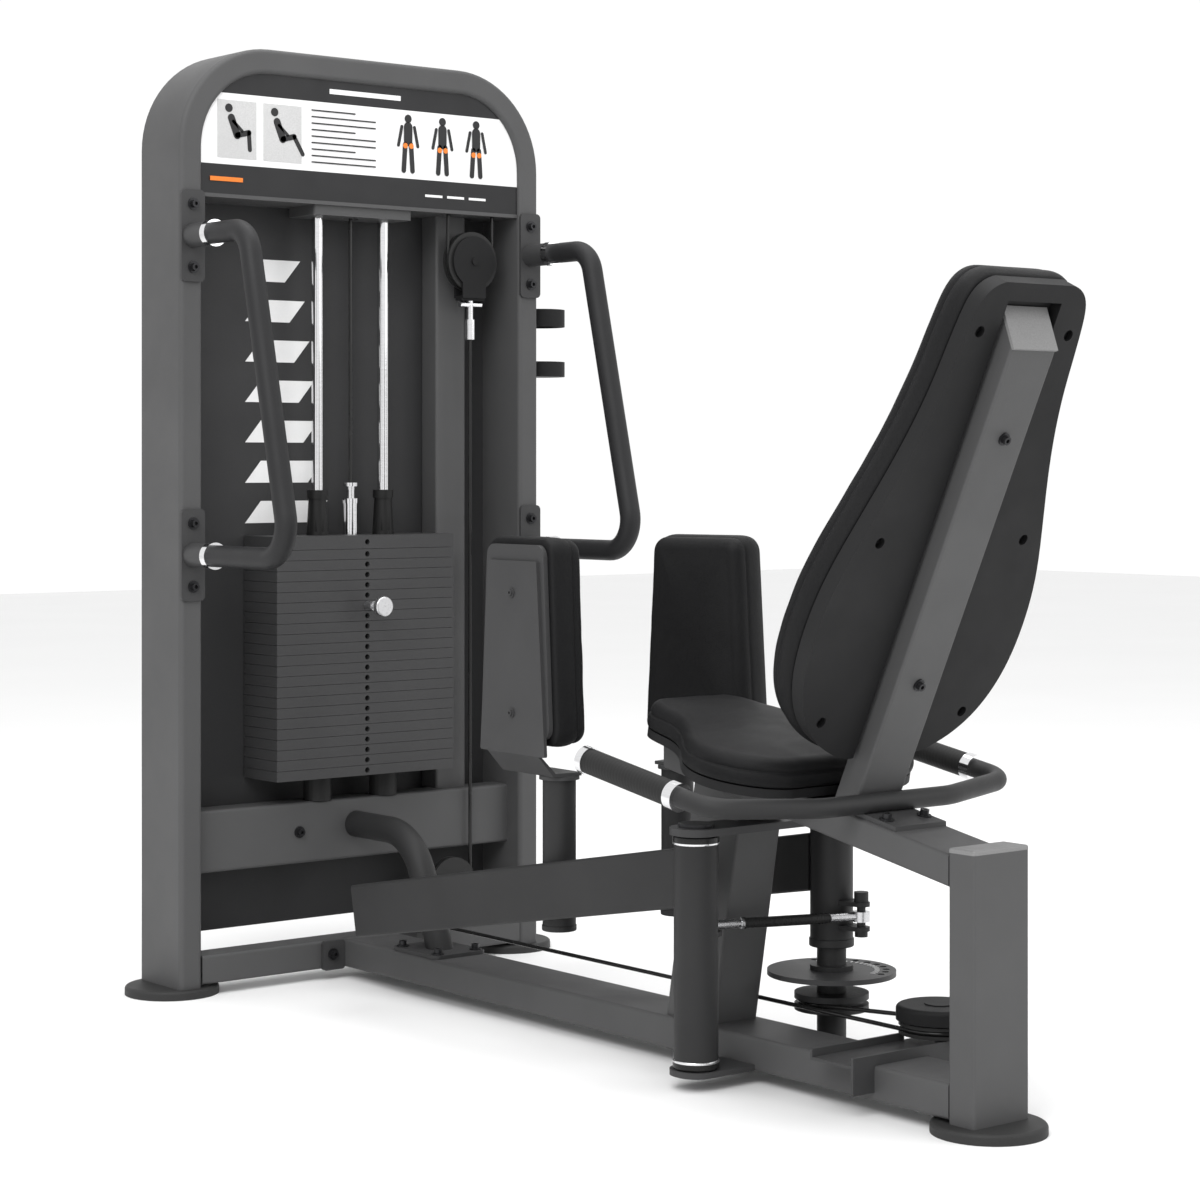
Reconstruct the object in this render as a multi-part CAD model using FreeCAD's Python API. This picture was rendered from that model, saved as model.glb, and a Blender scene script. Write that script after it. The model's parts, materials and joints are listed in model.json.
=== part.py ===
import FreeCAD, Part

import math
import os

from FreeCAD import Placement, Rotation, Vector

# Hip abductor machine. +Z is up, +Y runs from the rear foot to the weight tower, +X is the sitter's right.
# The origin is on the floor, under the centre of the rear foot. Lengths are in millimetres.

# Tower
TOWER_FRONT = 1382.0
TOWER_DEPTH = 122.0
TOWER_HALF = 352.0
TOWER_HEIGHT = 1500.0
TOWER_FACE = 40.0
ARCH_RADIUS = 165.0
WALL = 3.0
TOWER_MID = TOWER_FRONT + TOWER_DEPTH / 2
UPRIGHT_X = TOWER_HALF - TOWER_FACE / 2

# Floor level parts
FOOT_RADIUS = 74.0
FOOT_HEIGHT = 14.0
BASE_LOW = 18.0
BASE_TOP = 64.0
BEAM_HALF = 50.0
CROSS_DEPTH = 50.0

# Rear post and the sloping seat beam
POST_HALF_DEPTH = 22.0
POST_TOP = 358.0
SEAT_SLOPE = math.radians(10.5)
SEAT_BEAM_TOP = 352.0
SEAT_BEAM_START = 36.0
SEAT_BEAM_END = 585.0
SEAT_BEAM_HEIGHT = 40.0

# Front column under the seat, leaning back
COLUMN_HALF = 40.0
COLUMN_REAR = 476.0
COLUMN_DEPTH = 102.0
COLUMN_LEAN = 0.18

# Arm pivots
PIVOT_X = 125.0
PIVOT_Y = 415.0
PIVOT_PIN_R = 15.0
PIVOT_TUBE_R = 30.0
RUNNING = 0.06
PIVOT_PLATE_TOP = 350.0
PIVOT_PLATE = 10.0
PIVOT_LOW = 27.0

# Movement arms
ARM_WIDTH = 40.0
ARM_HEIGHT = 80.0
ARM_LENGTH = 745.0
ARM_SLOPE = math.radians(10.3)
ARM_ROOT_Z = 284.0
ARM_HEADING = 3.2
ARM_SHIFT = 8.0
SLEEVE_R = 24.0
SLEEVE_FORWARD = 314.0
SLEEVE_SIDE = 31.5
SLEEVE_LOW = 169.0
SLEEVE_TOP = 385.0
FLANGE_R = 29.0
FLANGE_THICK = 6.0

# Thigh pads
TOE_IN = {-1: 3.0, 1: 14.0}
PAD_LOW = 438.0
PAD_TOP = 729.0
PAD_INNER = -16.0
PAD_BACK = 43.0
PAD_LENGTH_LOW = 190.0
PAD_LENGTH_TOP = 158.0
PAD_OFFSET = 40.0
BOARD_THICK = 7.0
PLATE_THICK = 5.0
PLATE_LOW = 422.0
PLATE_TOP = 698.0

# Crank link between the two arms
LINK_Z = 211.0
LINK_R = 6.5
LEFT_CRANK = (48.0, 20.0)
RIGHT_CRANK = (5.0, -54.0)

# Cable drive
CABLE_R = 3.0
CABLE_Z = 88.0
CABLE_X = 60.0
DRUM_R = 45.0
DISC_R = 90.0
REAR_WHEEL_R = 50.0
REAR_WHEEL_Y = 192.0
BASE_WHEEL_R = 40.0
FALL_X = 226.0
FALL_Y = 1408.0
SMALL_WHEEL_R = 46.0
TOP_WHEEL_R = 37.0
TOP_WHEEL_Z = 1330.0
HANG_Z = 1180.0
WHEEL_WIDTH = 16.0
RIM = 4.5
GROOVE_SLACK = 0.4
AXLE_R = 6.0

# Weight stack
STACK_HALF = 174.0
STACK_DEPTH = 100.0
STACK_LOW = 326.0
PLATE_PITCH = 16.9
PLATE_GAP = 0.6
PLATE_COUNT = 22
LIFTED_COUNT = 6
TOP_PLATE = 22.0
ROD_X = 65.0
ROD_R = 9.5
ROD_HOLE_R = 11.0
PIN_HOLE_R = 4.5
STACK_MID = TOWER_FRONT + 2.0 + STACK_DEPTH / 2
STACK_TOP = STACK_LOW + PLATE_COUNT * PLATE_PITCH + TOP_PLATE
CROSSMEMBER_LOW = 187.0
CROSSMEMBER_TOP = 286.0
TRAY_Z = 1258.0
ROD_BRACKET_Z = 1242.0

# Backrest
BACK_LEAN = 25.1
BACK_ORIGIN = Vector(0, 193.6, 455)
BACK_PLACE = Placement(BACK_ORIGIN, Rotation(Vector(1, 0, 0), 90 + BACK_LEAN))
BACK_SHELL = 22.0
BACK_PAD = 52.0
GROOVE_HALF = 48.0
GROOVE_DEPTH = 17.0
BACK_POST_HALF = 40.0
BACK_POST_DEPTH = 40.0
POST_FRONT_TOP = 626.0
POST_REAR_TOP = 585.0
CAP_THICK = 4.0
BACK_OUTLINE = [
    (62, 0), (112, 20), (152, 55), (180, 112), (188, 180), (182, 245), (160, 325), (130, 420),
    (109, 520), (100, 610), (90, 645), (62, 664),
]

# Seat
SEAT_THICK = 40.0
SEAT_SHELL = 12.0
SEAT_ORIGIN = Vector(0, 260, 400)
SADDLE = SEAT_ORIGIN.z - SEAT_BEAM_TOP - (SEAT_ORIGIN.y - SEAT_BEAM_START) * math.tan(SEAT_SLOPE)
SEAT_PLACE = Placement(SEAT_ORIGIN, Rotation(Vector(1, 0, 0), math.degrees(SEAT_SLOPE)))
SEAT_OUTLINE = [
    (95, 0), (150, 28), (175, 75), (174, 112), (150, 160), (116, 205), (96, 250), (86, 305), (62, 332),
]

# Handlebar round the seat
BAR_R = 13.0
GRIP_R = 17.0
COLLAR_R = 19.0
BAR_X = 270.0
BAR_REAR = 181.0
BAR_CORNER = 232.0
BAR_FRONT = 467.0
BAR_Z = 414.0
BAR_PIVOT_Y = 285.0

# Tower handles
HANDLE_R = 17.0
HANDLE_HIGH = 1194.0
HANDLE_LOW = 694.0
FLANGE_HALF = 21.0
FLANGE_REACH = 72.0
BOLT_OFFSET = 49.5


def box(x0, x1, y0, y1, z0, z1):
    """Block between two corners."""
    return Part.makeBox(x1 - x0, y1 - y0, z1 - z0, Vector(x0, y0, z0))


def rod(radius, start, end):
    """Round bar from one point to another."""
    along = end - start
    return Part.makeCylinder(radius, along.Length, start, along)


def ring(outer, inner, start, end):
    """Tube from one point to another."""
    return rod(outer, start, end).cut(rod(inner, start, end))


def disc(radius, x, y, low, high):
    """Upright round bar."""
    return rod(radius, Vector(x, y, low), Vector(x, y, high))


def soften(solid, radius, along):
    """Rounds the straight edges that run along a direction."""
    edges = []
    for edge in solid.Edges:
        straight = isinstance(edge.Curve, Part.Line)
        if straight and abs(edge.tangentAt(edge.FirstParameter).dot(along)) > 0.999:
            edges.append(edge)
    return solid.makeFillet(radius, edges)


def box_tube(solid_of, along, radius):
    """Hollow rounded tube. solid_of(inset) gives the plain prism, inset by a wall."""
    outer = soften(solid_of(0), radius, along)
    inner = soften(solid_of(WALL), max(radius - WALL, 1.0), along)
    return outer.cut(inner)


def bent_wire(points, radii):
    """Straight runs joined by tangent arcs, one radius for each inner point."""
    edges = []
    start = points[0]
    for i in range(1, len(points) - 1):
        corner = points[i]
        back = (points[i - 1] - corner).normalize()
        ahead = (points[i + 1] - corner).normalize()
        half = math.acos(max(-1.0, min(1.0, back.dot(ahead)))) / 2
        trim = radii[i - 1] / math.tan(half)
        first = corner + back * trim
        last = corner + ahead * trim
        bisector = (back + ahead).normalize()
        middle = corner + bisector * (radii[i - 1] / math.sin(half) - radii[i - 1])
        if (first - start).Length > 1e-6:
            edges.append(Part.LineSegment(start, first).toShape())
        edges.append(Part.Arc(first, middle, last).toShape())
        start = last
    edges.append(Part.LineSegment(start, points[-1]).toShape())
    return Part.Wire(edges)


def sweep(points, radii, radius):
    """Round bar bent along a line of points."""
    wire = bent_wire(points, radii)
    profile = Part.Wire([Part.makeCircle(radius, points[0], points[1] - points[0])])
    return wire.makePipeShell([profile], True, True)


def tube_sweep(points, radii, radius, wall=2.5):
    """Round tube bent along a line of points."""
    return sweep(points, radii, radius).cut(sweep(points, radii, radius - wall))


def mirrored_outline(half_points):
    """Closed face in the XY plane, from half of its outline: a smooth curve on each side, straight ends."""
    right = [Vector(x, y, 0) for x, y in half_points]
    left = [Vector(-x, y, 0) for x, y in reversed(half_points)]
    curve = Part.BSplineCurve()
    curve.interpolate(right)
    other = Part.BSplineCurve()
    other.interpolate(left)
    top = Part.LineSegment(right[-1], left[0])
    bottom = Part.LineSegment(left[-1], right[0])
    return Part.Face(Part.Wire([curve.toShape(), top.toShape(), other.toShape(), bottom.toShape()]))


def placed(shape, placement):
    """Copy of a shape, moved into place."""
    moved = shape.copy()
    moved.Placement = placement.multiply(shape.Placement)
    return moved


def wheel(radius, centre, axis, width=WHEEL_WIDTH, bore=AXLE_R + RUNNING):
    """Grooved cable wheel with a running bore. The radius is that of the cable's centre line."""
    slack = CABLE_R + GROOVE_SLACK
    rim = radius + RIM
    near = [Vector(radius, 0, -slack), Vector(rim, 0, -slack), Vector(rim, 0, -width / 2),
            Vector(bore, 0, -width / 2)]
    far = [Vector(bore, 0, width / 2), Vector(rim, 0, width / 2), Vector(rim, 0, slack),
           Vector(radius, 0, slack)]
    outline = near + far
    edges = [Part.LineSegment(start, end).toShape() for start, end in zip(outline, outline[1:])]
    edges.append(Part.Arc(outline[-1], Vector(radius - slack, 0, 0), outline[0]).toShape())
    body = Part.Face(Part.Wire(edges)).revolve(Vector(0, 0, 0), Vector(0, 0, 1), 360)
    return placed(body, Placement(centre, Rotation(Vector(0, 0, 1), Vector(axis))))


def bolt(place, axis, radius=6.0, head=7.0, washer=9.5):
    """Hexagon-socket bolt head on a washer, standing on a face."""
    axis = Vector(axis).normalize()
    flat = rod(washer, place, place + axis * 2)
    cap = rod(radius, place + axis * 2, place + axis * (2 + head))
    socket = rod(radius * 0.5, place + axis * (head - 2), place + axis * (3 + head))
    return flat.fuse(cap).cut(socket)


def beam_top(y):
    """Height of the seat beam's top face."""
    return SEAT_BEAM_TOP + (y - SEAT_BEAM_START) * math.tan(SEAT_SLOPE)


def bar_z(y):
    """Height of the handlebar's sloping plane."""
    return BAR_Z + (y - BAR_PIVOT_Y) * math.tan(math.radians(9.6))


def arm_directions(side):
    """Unit vectors along an arm and from the arm towards the middle of the machine."""
    turn = math.radians(ARM_HEADING)
    forward = Vector(side * math.sin(turn), math.cos(turn), 0)
    return forward, Vector(-side * forward.y, side * forward.x, 0)


def tower_parts():
    """Weight tower: arch, feet, cross tubes, top tray, placard and rear panel."""
    parts = {}

    def arch_band(inset, depth_inset):
        half = TOWER_HALF - inset
        top = TOWER_HEIGHT - inset
        inner_half = TOWER_HALF - TOWER_FACE + inset
        inner_top = TOWER_HEIGHT - TOWER_FACE + inset
        low = FOOT_HEIGHT
        outer = soften_top(half, top, ARCH_RADIUS - inset, low, depth_inset)
        inner = soften_top(inner_half, inner_top, ARCH_RADIUS - TOWER_FACE + inset, low - 1, depth_inset)
        return outer.cut(inner)

    def soften_top(half, top, radius, low, depth_inset):
        front = TOWER_FRONT + depth_inset
        block = box(-half, half, front, TOWER_FRONT + TOWER_DEPTH - depth_inset, low, top)
        edges = [e for e in block.Edges if e.BoundBox.ZMin > top - 1 and e.BoundBox.YLength > 1]
        return block.makeFillet(radius, edges)

    shell = arch_band(0, 0)
    rims = [e for e in shell.Edges if e.BoundBox.YLength < 0.01 and e.BoundBox.ZMax > FOOT_HEIGHT + 1]
    rims = [e for e in rims if e.BoundBox.YMax < TOWER_FRONT + 1]
    shell = shell.makeFillet(8.0, rims)
    parts["tower_arch"] = shell.cut(arch_band(WALL, WALL))

    feet = []
    for x, y in ((-UPRIGHT_X, TOWER_MID), (UPRIGHT_X, TOWER_MID), (0, 0)):
        foot = disc(FOOT_RADIUS, x, y, 0, FOOT_HEIGHT)
        rim = [e for e in foot.Edges if e.BoundBox.ZMin > FOOT_HEIGHT - 0.1 and e.Closed]
        feet.append(foot.makeFillet(5.0, rim))
    parts["floor_discs"] = feet

    inner_x = TOWER_HALF - TOWER_FACE
    parts["base_cross_tube"] = box_tube(
        lambda g: box(-inner_x, inner_x, TOWER_FRONT + g, TOWER_FRONT + CROSS_DEPTH - g,
                      BASE_LOW + g, BASE_TOP - g),
        Vector(1, 0, 0), 5)
    parts["crossmember"] = box_tube(
        lambda g: box(-inner_x, inner_x, TOWER_FRONT + 36 + g, TOWER_FRONT + 86 - g,
                      CROSSMEMBER_LOW + g, CROSSMEMBER_TOP - g),
        Vector(1, 0, 0), 5)
    parts["rear_panel"] = box(-inner_x, inner_x, TOWER_FRONT + 106, TOWER_FRONT + 109, 83, TRAY_Z + 6)
    parts["pulley_column"] = box_tube(
        lambda g: box(180 + g, 242 - g, TOWER_FRONT + 60 + g, TOWER_FRONT + 105.5 - g,
                      CROSSMEMBER_TOP, TRAY_Z),
        Vector(0, 0, 1), 5)
    tray = box(-inner_x, inner_x, TOWER_FRONT + 6, TOWER_FRONT + 105.5, TRAY_Z, TRAY_Z + 6)
    parts["top_tray"] = tray.cut(tray_slots())
    board_half = inner_x
    board_top = TOWER_HEIGHT - TOWER_FACE
    board = box(-board_half, board_half, TOWER_FRONT + 8, TOWER_FRONT + 12, TRAY_Z + 6, board_top)
    corners = [e for e in board.Edges if e.BoundBox.ZMin > board_top - 1 and e.BoundBox.YLength > 1]
    parts["placard_board"] = board.makeFillet(ARCH_RADIUS - TOWER_FACE, corners)
    return parts


def tray_slots():
    """Cable openings in the top tray: over the stack stem and over the falling cable's two strands."""
    slots = [box(-12, 12, STACK_MID - 12, STACK_MID + 12, TRAY_Z - 1, TRAY_Z + 8)]
    for x in (FALL_X - SMALL_WHEEL_R, FALL_X + SMALL_WHEEL_R):
        slots.append(box(x - 10, x + 10, FALL_Y - 12, FALL_Y + 12, TRAY_Z - 1, TRAY_Z + 8))
    return Part.makeCompound(slots)


def chassis_parts():
    """Base beam, posts, seat beam, brace and pivot plates."""
    parts = {}
    parts["base_beam"] = box_tube(
        lambda g: box(-BEAM_HALF + g, BEAM_HALF - g, POST_HALF_DEPTH, TOWER_FRONT,
                      BASE_LOW + g, BASE_TOP - g),
        Vector(0, 1, 0), 5)
    parts["rear_post"] = box_tube(
        lambda g: box(-BEAM_HALF + g, BEAM_HALF - g, -POST_HALF_DEPTH + g, POST_HALF_DEPTH - g,
                      FOOT_HEIGHT, POST_TOP - 6),
        Vector(0, 0, 1), 4)
    cap = box(-BEAM_HALF, BEAM_HALF, -POST_HALF_DEPTH, POST_HALF_DEPTH, POST_TOP - 6, POST_TOP)
    upper = [e for e in cap.Edges if e.BoundBox.ZMax > POST_TOP - 6 + 0.1]
    parts["rear_post_cap"] = cap.makeFillet(3.0, upper)

    slope = math.tan(SEAT_SLOPE)
    length = SEAT_BEAM_END - SEAT_BEAM_START

    def seat_prism(inset):
        start = POST_HALF_DEPTH
        drop = SEAT_BEAM_HEIGHT / math.cos(SEAT_SLOPE)
        rise = inset / math.cos(SEAT_SLOPE)
        corners = [
            Vector(-BEAM_HALF + inset, start, beam_top(start) - rise),
            Vector(-BEAM_HALF + inset, start + length, beam_top(start + length) - rise),
            Vector(-BEAM_HALF + inset, start + length, beam_top(start + length) - drop + rise),
            Vector(-BEAM_HALF + inset, start, beam_top(start) - drop + rise),
        ]
        face = Part.Face(Part.makePolygon(corners + corners[:1]))
        return face.extrude(Vector(2 * (BEAM_HALF - inset), 0, 0))

    along = Vector(0, 1, slope).normalize()
    parts["seat_beam"] = box_tube(seat_prism, along, 4)

    def column_prism(inset):
        low = BASE_TOP
        high = 430.0
        lean = COLUMN_LEAN
        rear = COLUMN_REAR + inset
        front = COLUMN_REAR + COLUMN_DEPTH - inset
        corners = [
            Vector(-COLUMN_HALF + inset, rear, low),
            Vector(-COLUMN_HALF + inset, front, low),
            Vector(-COLUMN_HALF + inset, front - lean * (high - low), high),
            Vector(-COLUMN_HALF + inset, rear - lean * (high - low), high),
        ]
        face = Part.Face(Part.makePolygon(corners + corners[:1]))
        return face.extrude(Vector(2 * (COLUMN_HALF - inset), 0, 0))

    column = box_tube(column_prism, Vector(0, -COLUMN_LEAN, 1).normalize(), 4)
    over = [Vector(-80, 300, beam_top(300) - SEAT_BEAM_HEIGHT / math.cos(SEAT_SLOPE)),
            Vector(-80, 700, beam_top(700) - SEAT_BEAM_HEIGHT / math.cos(SEAT_SLOPE)),
            Vector(-80, 700, 600), Vector(-80, 300, 600)]
    above_beam = Part.Face(Part.makePolygon(over + over[:1])).extrude(Vector(160, 0, 0))
    parts["front_column"] = column.cut(above_beam)

    top_plate = box(-PIVOT_X - 34, PIVOT_X + 34, PIVOT_Y - 34, PIVOT_Y + 34,
                    PIVOT_PLATE_TOP - PIVOT_PLATE, PIVOT_PLATE_TOP)
    top_plate = soften(top_plate, 30, Vector(0, 0, 1))
    for side in (-1, 1):
        top_plate = top_plate.cut(disc(PIVOT_PIN_R, side * PIVOT_X, PIVOT_Y, 300, 400))
    parts["upper_pivot_plate"] = top_plate.cut(column_prism(0))
    low_plates = []
    for side in (-1, 1):
        inner = side * BEAM_HALF
        outer = side * (PIVOT_X + 34)
        plate = box(min(inner, outer), max(inner, outer), PIVOT_Y - 34, PIVOT_Y + 34,
                    PIVOT_LOW - 8, PIVOT_LOW)
        ends = [e for e in plate.Edges if e.BoundBox.ZLength > 7 and abs(e.CenterOfMass.x - outer) < 1]
        plate = plate.makeFillet(30, ends)
        low_plates.append(plate.cut(disc(PIVOT_PIN_R, side * PIVOT_X, PIVOT_Y, 0, 60)))
    parts["lower_pivot_plates"] = low_plates
    pins = []
    for side in (-1, 1):
        pin = disc(PIVOT_PIN_R, side * PIVOT_X, PIVOT_Y, PIVOT_LOW - 8, PIVOT_PLATE_TOP)
        head = disc(PIVOT_PIN_R + 9, side * PIVOT_X, PIVOT_Y, PIVOT_PLATE_TOP, PIVOT_PLATE_TOP + 5)
        pins.append(pin.fuse(head))
    parts["pivot_pins"] = pins

    flanges = []
    for side in (-1, 1):
        x0 = side * BEAM_HALF
        x1 = side * (BEAM_HALF + 42)
        flange = box(min(x0, x1), max(x0, x1), TOWER_FRONT - 8, TOWER_FRONT, 16, 63)
        flanges.append(soften(flange, 6, Vector(0, 1, 0)))
    parts["beam_flanges"] = flanges
    parts["brace_tube"] = tube_sweep(
        [Vector(0, TOWER_FRONT + 36, 243), Vector(0, TOWER_FRONT - 129, 243),
         Vector(0, TOWER_FRONT - 206, 60)], [100], 21.5, 3.0).cut(
             box(-60, 60, TOWER_FRONT - 400, TOWER_FRONT, 0, BASE_TOP + 6))
    plate = box(-48, 48, TOWER_FRONT - 262, TOWER_FRONT - 138, BASE_TOP, BASE_TOP + 6)
    parts["brace_foot_plate"] = soften(plate, 10, Vector(0, 0, 1))
    return parts


def fastener_parts():
    """Bolts of the tower handles, the base and the lower crossmember."""
    parts = {}
    tower = []
    for side in (-1, 1):
        for z in (HANDLE_HIGH - BOLT_OFFSET, HANDLE_HIGH + BOLT_OFFSET,
                  HANDLE_LOW - BOLT_OFFSET, HANDLE_LOW + BOLT_OFFSET):
            tower.append(bolt(Vector(side * UPRIGHT_X, TOWER_FRONT - 5, z), (0, -1, 0)))
    parts["handle_bolts"] = tower
    base = [bolt(Vector(side * (BEAM_HALF + 24), TOWER_FRONT - 8, 42), (0, -1, 0)) for side in (-1, 1)]
    for x in (-36, 36):
        for y in (TOWER_FRONT - 248, TOWER_FRONT - 152):
            base.append(bolt(Vector(x, y, BASE_TOP + 6), (0, 0, 1)))
    base.append(bolt(Vector(-110, TOWER_FRONT + 36, 238), (0, -1, 0)))
    parts["frame_bolts"] = base
    return parts


def stack_parts():
    """Weight stack: plates, guide rods, stem, selector pin."""
    parts = {}

    def blank(low, thick):
        plate = box(-STACK_HALF, STACK_HALF, STACK_MID - STACK_DEPTH / 2, STACK_MID + STACK_DEPTH / 2,
                    low, low + thick)
        for side in (-1, 1):
            plate = plate.cut(disc(ROD_HOLE_R, side * ROD_X, STACK_MID, low - 1, low + thick + 1))
        plate = plate.cut(disc(13, 0, STACK_MID, low - 1, low + thick + 1))
        middle = low + thick / 2
        front = STACK_MID - STACK_DEPTH / 2 - 1
        return plate.cut(rod(PIN_HOLE_R, Vector(0, front, middle), Vector(0, STACK_MID - 12, middle)))

    plates = [blank(STACK_LOW + i * PLATE_PITCH, PLATE_PITCH - PLATE_GAP) for i in range(PLATE_COUNT)]
    resting = PLATE_COUNT - LIFTED_COUNT
    parts["resting_plates"] = plates[:resting]
    parts["lifted_plates"] = plates[resting:]
    top_low = STACK_LOW + PLATE_COUNT * PLATE_PITCH
    parts["top_plate"] = blank(top_low, TOP_PLATE)

    stem_low = STACK_LOW + 4
    stem = disc(11, 0, STACK_MID, stem_low, top_low + TOP_PLATE)
    pin_z = STACK_LOW + resting * PLATE_PITCH + (PLATE_PITCH - PLATE_GAP) / 2
    hole = rod(PIN_HOLE_R, Vector(0, STACK_MID - 30, pin_z), Vector(0, STACK_MID + 30, pin_z))
    head = disc(12, 0, STACK_MID, STACK_TOP, STACK_TOP + 52)
    neck = disc(7, 0, STACK_MID, STACK_TOP + 52, STACK_TOP + 84)
    nuts = disc(13, 0, STACK_MID, STACK_TOP + 52, STACK_TOP + 60).fuse(
        disc(12, 0, STACK_MID, STACK_TOP + 80, STACK_TOP + 86))
    parts["selector_stem"] = stem.cut(hole).fuse(head).fuse(neck).fuse(nuts)

    bushes = []
    for side in (-1, 1):
        cone = Part.makeCone(18, 14.5, 60, Vector(side * ROD_X, STACK_MID, STACK_TOP), Vector(0, 0, 1))
        crown = disc(17, side * ROD_X, STACK_MID, STACK_TOP + 60, STACK_TOP + 74)
        bush = cone.fuse(crown)
        for k in range(8):
            turn = math.radians(45 * k)
            x = side * ROD_X + 19.5 * math.cos(turn)
            y = STACK_MID + 19.5 * math.sin(turn)
            bush = bush.cut(disc(3.2, x, y, STACK_TOP + 6, STACK_TOP + 58))
        bore = disc(ROD_R + RUNNING, side * ROD_X, STACK_MID, STACK_TOP - 1, STACK_TOP + 80)
        bushes.append(bush.cut(bore))
    parts["guide_bushings"] = bushes

    front = STACK_MID - STACK_DEPTH / 2
    shaft = rod(PIN_HOLE_R - 0.4, Vector(0, front - 44, pin_z), Vector(0, STACK_MID + 8, pin_z))
    collar = rod(7.5, Vector(0, front - 20, pin_z), Vector(0, front - 0.4, pin_z))
    knob = rod(16.5, Vector(0, front - 52, pin_z), Vector(0, front - 40, pin_z))
    knob = knob.makeFillet(3.0, [e for e in knob.Edges if e.Closed and e.BoundBox.YMax < front - 39])
    parts["selector_pin"] = shaft.fuse(collar).fuse(knob)

    parts["guide_rods"] = [
        disc(ROD_R, side * ROD_X, STACK_MID, CROSSMEMBER_TOP, ROD_BRACKET_Z) for side in (-1, 1)]
    parts["stack_bumpers"] = [
        ring(23, ROD_R, Vector(side * ROD_X, STACK_MID, CROSSMEMBER_TOP),
             Vector(side * ROD_X, STACK_MID, STACK_LOW - 0.3)) for side in (-1, 1)]
    bracket = box(-96, 96, STACK_MID - 40, STACK_MID + 40, ROD_BRACKET_Z, TRAY_Z)
    bracket = soften(bracket, 5, Vector(0, 0, 1))
    parts["rod_bracket"] = bracket.cut(disc(14, 0, STACK_MID, ROD_BRACKET_Z - 1, TRAY_Z + 1))
    return parts


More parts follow.
